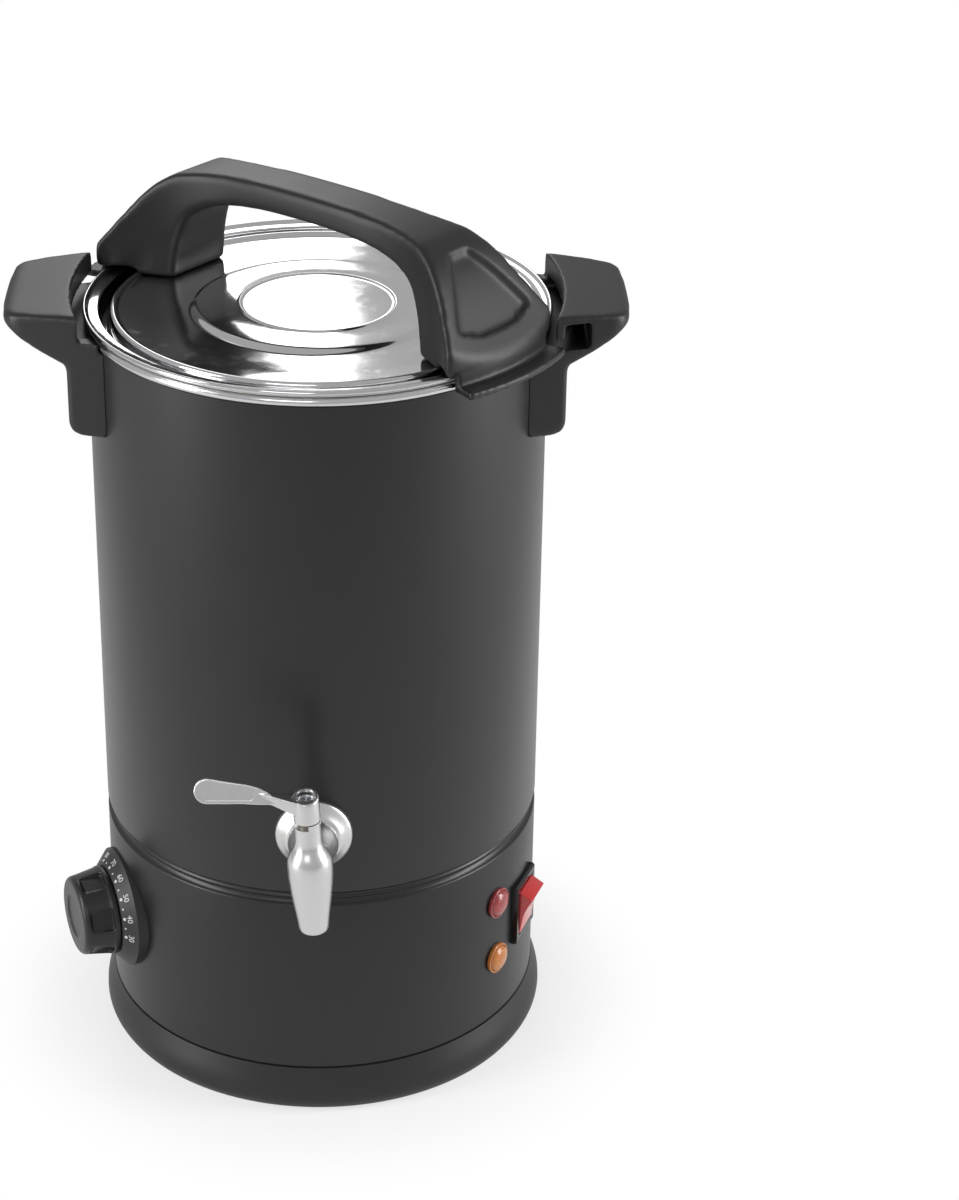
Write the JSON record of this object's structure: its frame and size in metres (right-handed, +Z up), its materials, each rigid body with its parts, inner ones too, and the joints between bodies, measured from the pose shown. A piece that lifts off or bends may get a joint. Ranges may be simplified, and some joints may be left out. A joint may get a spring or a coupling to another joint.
{
  "type": "candle wax melter",
  "caption": "Electric wax melting pot with a double wall, bayonet lid with bridge handle, side handles, front lever tap, dial thermostat, rocker switch and pilot lamps.",
  "frame": {"origin": "centre of the plane that the four feet stand on, on the pot's axis", "axes": "+Z up along the pot's axis, -Y towards the front with the tap, +X through the right side handle"},
  "size_m": [0.304, 0.2825, 0.4609],
  "materials": {
    "shell_black": "soft satin black coating",
    "polished_steel": "polished stainless steel",
    "nonstick_black": "smooth black non-stick coating",
    "cast_aluminium": "as cast",
    "element_sheath": "heat-darkened sheath",
    "zinc_steel": "zinc plated",
    "bakelite": "matt",
    "base_plastic": "fine satin texture",
    "rubber_black": "matt",
    "ceramic": "unglazed",
    "handle_plastic": "fine satin texture",
    "bezel_plastic": "fine stipple",
    "copper": "bright copper",
    "knob_plastic": "satin",
    "brass": "bright",
    "switch_black": "gloss",
    "rocker_red": "translucent gloss",
    "lens_red": "translucent, prismatic inside",
    "lens_amber": "translucent, prismatic inside",
    "lamp_white": "matt",
    "tap_steel": "satin stainless steel",
    "silicone_red": "matt silicone",
    "silicone_pale": "matt silicone"
  },
  "bodies": {
    "pot": {"outer_shell": "shell_black", "rim_collar": "polished_steel", "handle_rivets": "polished_steel", "wax_tank": "nonstick_black", "heater_plate": "cast_aluminium", "heating_element": "element_sheath", "heater_clamp": "zinc_steel", "thermal_cutout": "bakelite", "base_ring": "base_plastic", "bottom_plate": "zinc_steel", "base_screws": "zinc_steel", "plate_screws": "zinc_steel", "rubber_feet": "rubber_black", "terminal_block": "ceramic", "handle_left": "handle_plastic", "handle_right": "handle_plastic", "dial_bezel": "bezel_plastic", "thermostat": "zinc_steel", "thermostat_screws": "zinc_steel", "thermostat_bulb": "copper", "switch_housing": "switch_black", "switch_terminals": "brass", "heat_lamp_lens": "lens_red", "heat_lamp_body": "lamp_white", "warm_lamp_lens": "lens_amber", "warm_lamp_body": "lamp_white", "mains_inlet": "switch_black", "inlet_pins": "brass", "inlet_screws": "zinc_steel", "tap_washer": "tap_steel", "tap_seals": "silicone_red", "tap_body": "tap_steel", "tap_nut": "tap_steel"},
    "tap_valve": {"tap_core": "tap_steel", "tap_lever": "tap_steel", "tap_screw": "zinc_steel"},
    "dial": {"dial_knob": "knob_plastic", "dial_shaft": "brass"},
    "rocker": {"switch_rocker": "rocker_red"},
    "lid_seal": {"lid_gasket": "silicone_pale"},
    "lid": {"lid_pan": "polished_steel", "lid_handle": "handle_plastic", "lid_screws": "zinc_steel"}
  },
  "joints": [
    {"name": "lid_lift", "type": "slide", "parent": "pot", "child": "lid_seal", "axis": [0, 0, 1], "range_m": [0, 0.16]},
    {"name": "lid_twist", "type": "hinge", "parent": "lid_seal", "child": "lid", "pos_m": [0, 0, 0.4005], "axis": [0, 0, 1], "range_deg": [0, 40]},
    {"name": "tap_turn", "type": "hinge", "parent": "pot", "child": "tap_valve", "pos_m": [-0.00557, -0.15391, 0.20067], "axis": [-0.0453, 0.0012, 0.999], "range_deg": [0, 90]},
    {"name": "dial_turn", "type": "hinge", "parent": "pot", "child": "dial", "pos_m": [-0.1115, -0.04437, 0.0788], "axis": [-0.9291, -0.3697, 0], "range_deg": [0, 270]},
    {"name": "switch_rock", "type": "hinge", "parent": "pot", "child": "rocker", "pos_m": [0.10406, -0.04141, 0.0788], "axis": [0.3697, 0.9291, 0], "range_deg": [-26, 0]}
  ]
}
